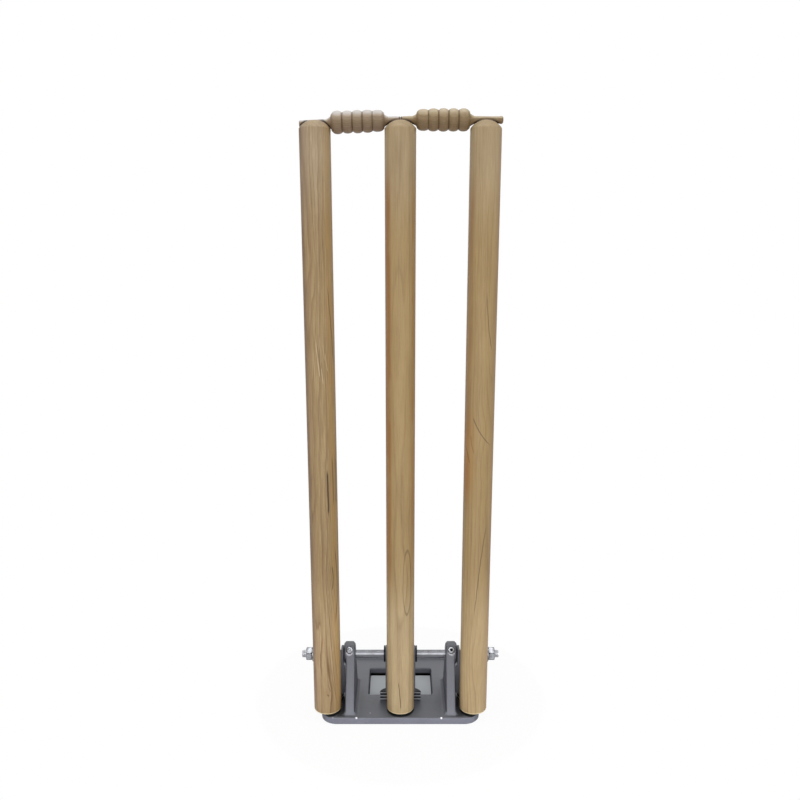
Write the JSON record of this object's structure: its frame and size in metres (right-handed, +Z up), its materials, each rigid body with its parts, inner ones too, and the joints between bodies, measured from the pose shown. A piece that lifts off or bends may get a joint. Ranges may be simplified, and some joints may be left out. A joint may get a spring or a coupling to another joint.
{
  "type": "cricket stumps",
  "caption": "Free-standing wicket of round wooden stumps with loose bails, each stump hinged and sprung upright on a cast base plate.",
  "frame": {"origin": "middle of the base plate's underside, which is the bottom centre of the bounding box", "axes": "+Z up along the stumps, +X along the row of stumps, -Y out of the wicket's front, where the stumps' feet are"},
  "size_m": [0.2558, 0.153, 0.7358],
  "materials": {
    "stump_wood": "satin",
    "bail_wood": "satin",
    "base_paint": "satin",
    "bracket_paint": "satin",
    "rod_steel": "satin",
    "fastener_zinc": "polished",
    "collar_steel": "satin",
    "spring_steel": "satin",
    "buffer_rubber": "matte"
  },
  "bodies": {
    "base": {"base_casting": "base_paint", "pivot_rod": "rod_steel", "set_screw_left": "fastener_zinc", "set_screw_right": "fastener_zinc", "rod_collar_left": "collar_steel", "rod_collar_right": "collar_steel", "washer_left": "fastener_zinc", "washer_right": "fastener_zinc", "nut_left": "fastener_zinc", "nut_right": "fastener_zinc", "foot_buffer_left": "buffer_rubber", "foot_buffer_middle": "buffer_rubber", "foot_buffer_right": "buffer_rubber", "return_spring_left": "spring_steel", "return_spring_middle": "spring_steel", "return_spring_right": "spring_steel"},
    "left_stump": {"stump_left": "stump_wood", "bracket_left": "bracket_paint", "bracket_screw_left_upper": "fastener_zinc", "bracket_screw_left_lower": "fastener_zinc"},
    "middle_stump": {"stump_middle": "stump_wood", "bracket_middle": "bracket_paint", "bracket_screw_middle_upper": "fastener_zinc", "bracket_screw_middle_lower": "fastener_zinc"},
    "right_stump": {"stump_right": "stump_wood", "bracket_right": "bracket_paint", "bracket_screw_right_upper": "fastener_zinc", "bracket_screw_right_lower": "fastener_zinc"},
    "left_bail": {"bail_left": "bail_wood"},
    "right_bail": {"bail_right": "bail_wood"}
  },
  "joints": [
    {"name": "left_stump_hinge", "type": "hinge", "parent": "base", "child": "left_stump", "pos_m": [-0.093, -0.028, 0.0725], "axis": [-1, 0, 0], "range_deg": [0, 70], "stiffness_Nm_per_rad": 1.2, "springref_deg": -28.65, "deforming": ["return_spring_left"]},
    {"name": "middle_stump_hinge", "type": "hinge", "parent": "base", "child": "middle_stump", "pos_m": [0, -0.028, 0.0725], "axis": [-1, 0, 0], "range_deg": [0, 70], "stiffness_Nm_per_rad": 1.2, "springref_deg": -28.65, "deforming": ["return_spring_middle"]},
    {"name": "right_stump_hinge", "type": "hinge", "parent": "base", "child": "right_stump", "pos_m": [0.093, -0.028, 0.0725], "axis": [-1, 0, 0], "range_deg": [0, 70], "stiffness_Nm_per_rad": 1.2, "springref_deg": -28.65, "deforming": ["return_spring_right"]},
    {"name": "left_bail_lift", "type": "slide", "parent": "left_stump", "child": "left_bail", "axis": [0, 0, 1], "range_m": [0, 0.06]},
    {"name": "right_bail_lift", "type": "slide", "parent": "right_stump", "child": "right_bail", "axis": [0, 0, 1], "range_m": [0, 0.06]}
  ]
}
